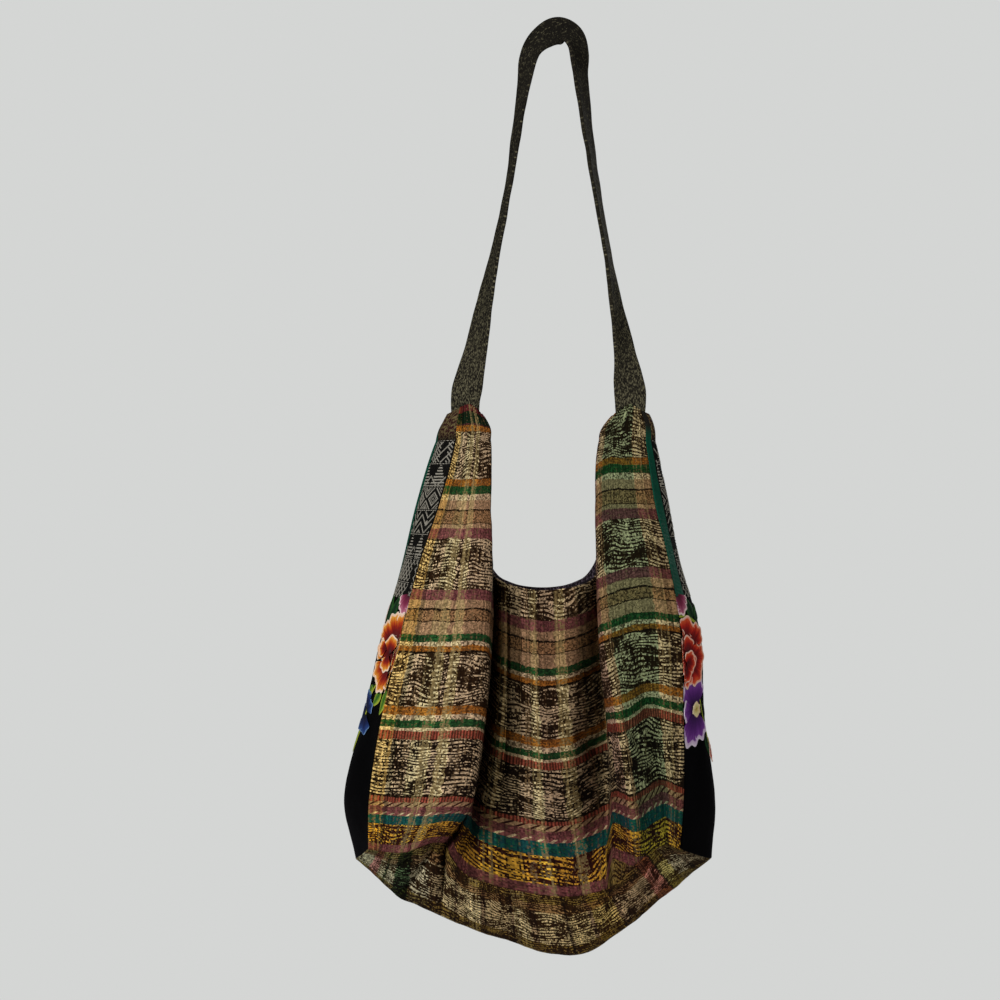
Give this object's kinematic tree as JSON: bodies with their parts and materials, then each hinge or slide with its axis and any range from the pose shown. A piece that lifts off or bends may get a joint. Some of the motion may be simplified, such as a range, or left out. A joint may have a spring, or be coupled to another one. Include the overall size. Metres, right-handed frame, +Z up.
{
  "type": "embroidered hobo bag",
  "caption": "Soft hobo bag of striped ikat cloth hanging by its strap, with a folded front, a sagging base and side gussets of brocade above embroidered velvet.",
  "frame": {"origin": "the peg under the top of the strap, where the bag hangs", "axes": "+Z up, the front of the bag faces -Y, +X to the right as the front is seen"},
  "size_m": [0.3076, 0.1087, 0.7817],
  "materials": {
    "ikat_cloth": "hand-woven cotton with ikat stripes",
    "brocade_cloth": "black cotton with grey-white brocaded figures",
    "velvet": "black cotton velvet",
    "green_ribbon": "ribbed teal-green ribbon",
    "strap_cloth": "dark brown woven band with beige flecks",
    "embroidery": "satin-stitched thread with a soft sheen"
  },
  "bodies": {
    "root": {"front_panel": "ikat_cloth", "back_panel": "ikat_cloth", "base_panel": "ikat_cloth", "left_brocade": "brocade_cloth", "right_brocade": "brocade_cloth", "left_ribbon": "green_ribbon", "right_ribbon": "green_ribbon", "left_velvet": "velvet", "right_velvet": "velvet", "strap": "strap_cloth"}
  },
  "joints": []
}
